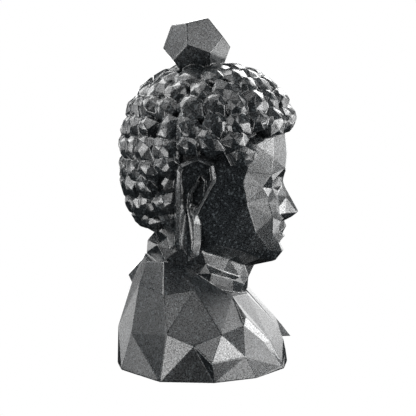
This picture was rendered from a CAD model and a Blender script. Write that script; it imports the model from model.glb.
# Faceted bust of the Buddha, cast in charcoal stone with a satin seal, on a white light table.
import math

import bpy
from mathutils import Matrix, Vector


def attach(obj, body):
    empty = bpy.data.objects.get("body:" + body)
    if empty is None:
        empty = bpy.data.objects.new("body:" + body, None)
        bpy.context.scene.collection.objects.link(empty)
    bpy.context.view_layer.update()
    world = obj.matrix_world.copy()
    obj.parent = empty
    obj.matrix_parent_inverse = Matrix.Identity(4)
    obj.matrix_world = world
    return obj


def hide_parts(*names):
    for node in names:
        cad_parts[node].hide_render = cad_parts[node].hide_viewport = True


MM = 0.001

# Casting, in millimetres: the reach within which corners are one, and the mesh of its skin
CORNER_REACH = 0.002
SKIN_STEP = 0.9
SKIN_TRIANGLES = 195000

# Worn arrises: passes, share of each pass, and how much a large facet outweighs a small one
ARRIS_PASSES = 1
ARRIS_SHARE = 0.5
FACET_WEIGHT = 80

# Stone, in millimetres: grains of the grit, pale flecks, soft clouds and how far the grit stands out
GRIT = 1.5
FLECK = 1.9
CLOUD = 45.0
GRIT_HEIGHT = 0.06
GRIT_STRENGTH = 0.5

# Colours of the dark grains, the pale grains and the flecks
DARK_GRAIN = "#030404"
PALE_GRAIN = "#262a2d"
PALE_FLECK = "#5a6063"

# Resin of the casting and the roughness of its seal
RESIN_IOR = 1.5
SEAL_ROUGHNESS = 0.2

# Camera: the photograph's direction, distance and width of view
VIEW_AZIMUTH = 266.0
VIEW_ELEVATION = 6.5
VIEW_DISTANCE = 2.8
VIEW_WIDTH = 0.5052
VIEW_TARGET = Vector((0.0, -0.0001, 0.1895))
SENSOR = 36.0

# Softboxes, in metres
BOX_DISTANCE = 2.0
BOX_WIDTH = 0.8
SMALL_BOX_WIDTH = 0.5
TOP_BOX_WIDTH = 1.0

# Light table, in metres
TABLE_WIDTH = 8.0
WHITE = "#ffffff"


def linear(code):
    """Linear colour of an sRGB hex code."""
    parts = [int(code[i : i + 2], 16) / 255 for i in (1, 3, 5)]
    return [c / 12.92 if c <= 0.04045 else ((c + 0.055) / 1.055) ** 2.4 for c in parts] + [1.0]


def add(tree, kind, inputs=None, **settings):
    """Adds a node with its settings. An input given as a socket is linked, any other is set."""
    node = tree.nodes.new("ShaderNode" + kind)
    for name, value in settings.items():
        setattr(node, name, value)
    for name, value in (inputs or {}).items():
        if isinstance(value, bpy.types.NodeSocket):
            tree.links.new(value, node.inputs[name])
        else:
            node.inputs[name].default_value = value
    return node


def start_material(name):
    """New material with an empty node tree."""
    material = bpy.data.materials.new(name)
    material.use_nodes = True
    material.node_tree.nodes.clear()
    return material, material.node_tree


def charcoal_cast_stone():
    """Stone powder in dark resin, cast in a smooth mould and sealed satin.

    The eye gets near black charcoal with fine pale and dark grit, broad soft clouds from
    the mixing, and a satin seal in which each flat facet mirrors the softboxes.
    """
    material, tree = start_material("charcoal_cast_stone")
    place = add(tree, "TexCoord").outputs["Object"]
    grit = add(
        tree,
        "TexNoise",
        {"Vector": place, "Scale": 1 / (GRIT * MM), "Detail": 3.0, "Roughness": 0.7},
    )
    fleck = add(tree, "TexVoronoi", {"Vector": place, "Scale": 1 / (FLECK * MM)})
    cloud = add(tree, "TexNoise", {"Vector": place, "Scale": 1 / (CLOUD * MM), "Detail": 2.0})
    tone = add(tree, "ValToRGB", {"Fac": grit.outputs["Fac"]})
    tone.color_ramp.elements[0].position = 0.38
    tone.color_ramp.elements[0].color = linear(DARK_GRAIN)
    tone.color_ramp.elements[1].position = 0.64
    tone.color_ramp.elements[1].color = linear(PALE_GRAIN)
    chance = add(tree, "SeparateColor", {"Color": fleck.outputs["Color"]})
    pale = add(
        tree,
        "MapRange",
        {"Value": chance.outputs["Red"], "From Min": 0.86, "From Max": 0.96, "To Max": 0.5},
    )
    flecked = add(
        tree,
        "Mix",
        {"Factor": pale.outputs["Result"], "A": tone.outputs["Color"], "B": linear(PALE_FLECK)},
        data_type="RGBA",
    )
    shade = add(
        tree,
        "MapRange",
        {"Value": cloud.outputs["Fac"], "From Min": 0.3, "From Max": 0.7, "To Min": 0.85, "To Max": 1.15},
    )
    clouded = add(
        tree,
        "Mix",
        {"Factor": 1.0, "A": flecked.outputs["Result"], "B": shade.outputs["Result"]},
        data_type="RGBA",
        blend_type="MULTIPLY",
    )
    gloss = add(
        tree,
        "MapRange",
        {"Value": grit.outputs["Fac"], "From Min": 0.3, "From Max": 0.7, "To Min": 0.25, "To Max": 0.31},
    )
    seal = add(
        tree,
        "MapRange",
        {"Value": grit.outputs["Fac"], "From Min": 0.38, "From Max": 0.62, "To Min": 0.22, "To Max": 0.78},
    )
    relief = add(
        tree,
        "Bump",
        {"Height": grit.outputs["Fac"], "Strength": GRIT_STRENGTH, "Distance": GRIT_HEIGHT * MM},
    )
    shader = add(
        tree,
        "BsdfPrincipled",
        {
            "Base Color": clouded.outputs["Result"],
            "Roughness": gloss.outputs["Result"],
            "Normal": relief.outputs["Normal"],
            "IOR": RESIN_IOR,
            "Specular IOR Level": seal.outputs["Result"],
            "Coat Weight": seal.outputs["Result"],
            "Coat Roughness": SEAL_ROUGHNESS,
        },
    )
    add(tree, "OutputMaterial", {"Surface": shader.outputs["BSDF"]})
    return material


def light_table():
    """White opal sheet lit from below, so that the bust stands on even white."""
    material, tree = start_material("white_light_table")
    glow = add(tree, "Emission", {"Color": linear(WHITE), "Strength": 1.0})
    add(tree, "OutputMaterial", {"Surface": glow.outputs["Emission"]})
    return material


def cast_bust(source, material):
    """Skin of the casting: the modelled facets kept flat, their arrises worn slightly round."""
    piece = bpy.data.objects.new("cast_bust", source.data.copy())
    bpy.context.scene.collection.objects.link(piece)
    bpy.ops.object.select_all(action="DESELECT")
    piece.select_set(True)
    bpy.context.view_layer.objects.active = piece
    bpy.ops.object.mode_set(mode="EDIT")
    bpy.ops.mesh.select_all(action="SELECT")
    bpy.ops.mesh.remove_doubles(threshold=CORNER_REACH * MM)
    bpy.ops.object.mode_set(mode="OBJECT")
    skin = piece.modifiers.new("skin", "REMESH")
    skin.mode = "VOXEL"
    skin.voxel_size = SKIN_STEP * MM
    bpy.ops.object.modifier_apply(modifier=skin.name)
    worn = piece.modifiers.new("worn", "SMOOTH")
    worn.factor = ARRIS_SHARE
    worn.iterations = ARRIS_PASSES
    bpy.ops.object.modifier_apply(modifier=worn.name)
    triangles = 2 * len(piece.data.polygons)
    lean = piece.modifiers.new("lean", "DECIMATE")
    lean.ratio = SKIN_TRIANGLES / triangles
    lean.use_collapse_triangulate = True
    bpy.ops.object.modifier_apply(modifier=lean.name)
    bpy.ops.object.shade_smooth()
    flat = piece.modifiers.new("flat", "WEIGHTED_NORMAL")
    flat.mode = "FACE_AREA"
    flat.weight = FACET_WEIGHT
    bpy.ops.object.modifier_apply(modifier=flat.name)
    piece.data.materials.clear()
    piece.data.materials.append(material)
    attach(piece, "root")
    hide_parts("buddha_bust")


def toward(azimuth, elevation):
    """Direction from the object, azimuth 0 in front of the face and 90 at the figure's left."""
    turn = math.radians(azimuth)
    lift = math.radians(elevation)
    return Vector((math.sin(turn) * math.cos(lift), -math.cos(turn) * math.cos(lift), math.sin(lift)))


def softbox(name, azimuth, elevation, watts, width=BOX_WIDTH):
    """Square soft light aimed at the middle of the bust, itself out of the camera's sight."""
    data = bpy.data.lights.new(name, "AREA")
    data.size = width
    data.energy = watts
    light = bpy.data.objects.new(name, data)
    bpy.context.scene.collection.objects.link(light)
    direction = toward(azimuth, elevation)
    light.location = VIEW_TARGET + direction * BOX_DISTANCE
    light.rotation_euler = direction.to_track_quat("Z", "Y").to_euler()
    light.visible_camera = False


def soft_lights():
    """Softboxes all round, which facets of the same tilt mirror toward the camera.

    Their directions and watts are fitted to the photograph's tones.
    """
    softbox("front_key", 0, 5, 20)
    softbox("front_spot", 8, 4, 4.4, SMALL_BOX_WIDTH)
    softbox("front_near", 335, 5, 13)
    softbox("front_near_spot", 335, 14, 6.5, SMALL_BOX_WIDTH)
    softbox("front_near_low", 335, -25, 11)
    softbox("front_far", 25, 5, 5)
    softbox("front_far_low", 33, -18, 3.1, SMALL_BOX_WIDTH)
    softbox("front_far_high", 30, 35, 5)
    softbox("near_high", 300, 35, 7)
    softbox("near_crown", 309, 52, 3.4, SMALL_BOX_WIDTH)
    softbox("overhead", 270, 88, 5, TOP_BOX_WIDTH)
    softbox("far_front", 65, 5, 4)
    softbox("far_front_high", 60, 35, 18)
    softbox("far_side", 95, 5, 7.5)
    softbox("far_crown", 120, 62, 17)
    softbox("far_back", 126, -2, 1.4, SMALL_BOX_WIDTH)
    softbox("far_back_high", 140, 35, 12)
    softbox("back_far", 160, 5, 4)
    softbox("back_key", 185, 5, 18)
    softbox("back_high", 170, 35, 8)
    softbox("back_crown", 200, 62, 11)
    softbox("back_near", 229, -8, 4.4, SMALL_BOX_WIDTH)
    softbox("back_near_low", 230, -25, 15)
    softbox("back_near_high", 235, 35, 6.5)


def studio():
    """White surround seen only by the camera, and a light table that hides none of the lights."""
    world = bpy.data.worlds.new("white_surround")
    bpy.context.scene.world = world
    world.use_nodes = True
    world.node_tree.nodes["Background"].inputs["Color"].default_value = linear(WHITE)
    world.cycles_visibility.diffuse = False
    world.cycles_visibility.glossy = False
    bpy.ops.mesh.primitive_plane_add(size=TABLE_WIDTH, location=(0, 0, 0))
    floor = bpy.context.object
    floor.name = "studio_floor"
    floor.data.materials.append(light_table())
    floor.visible_glossy = False
    floor.visible_diffuse = False
    floor.visible_shadow = False
    bpy.context.scene.view_settings.view_transform = "Standard"


def camera():
    """Long lens at the photograph's direction and distance."""
    data = bpy.data.cameras.new("camera")
    data.sensor_width = SENSOR
    data.lens = SENSOR * VIEW_DISTANCE / VIEW_WIDTH
    eye = bpy.data.objects.new("camera", data)
    bpy.context.scene.collection.objects.link(eye)
    back = toward(VIEW_AZIMUTH, VIEW_ELEVATION)
    eye.location = VIEW_TARGET + back * VIEW_DISTANCE
    eye.rotation_euler = back.to_track_quat("Z", "Y").to_euler()
    bpy.context.scene.camera = eye


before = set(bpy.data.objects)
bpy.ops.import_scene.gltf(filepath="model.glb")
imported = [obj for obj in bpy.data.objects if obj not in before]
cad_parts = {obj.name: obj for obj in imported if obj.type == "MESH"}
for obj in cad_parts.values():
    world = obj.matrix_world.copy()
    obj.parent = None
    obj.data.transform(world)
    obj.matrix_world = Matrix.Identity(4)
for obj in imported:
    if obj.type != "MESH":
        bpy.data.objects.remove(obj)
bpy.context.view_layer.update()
camera()
studio()
soft_lights()
cast_bust(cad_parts["buddha_bust"], charcoal_cast_stone())
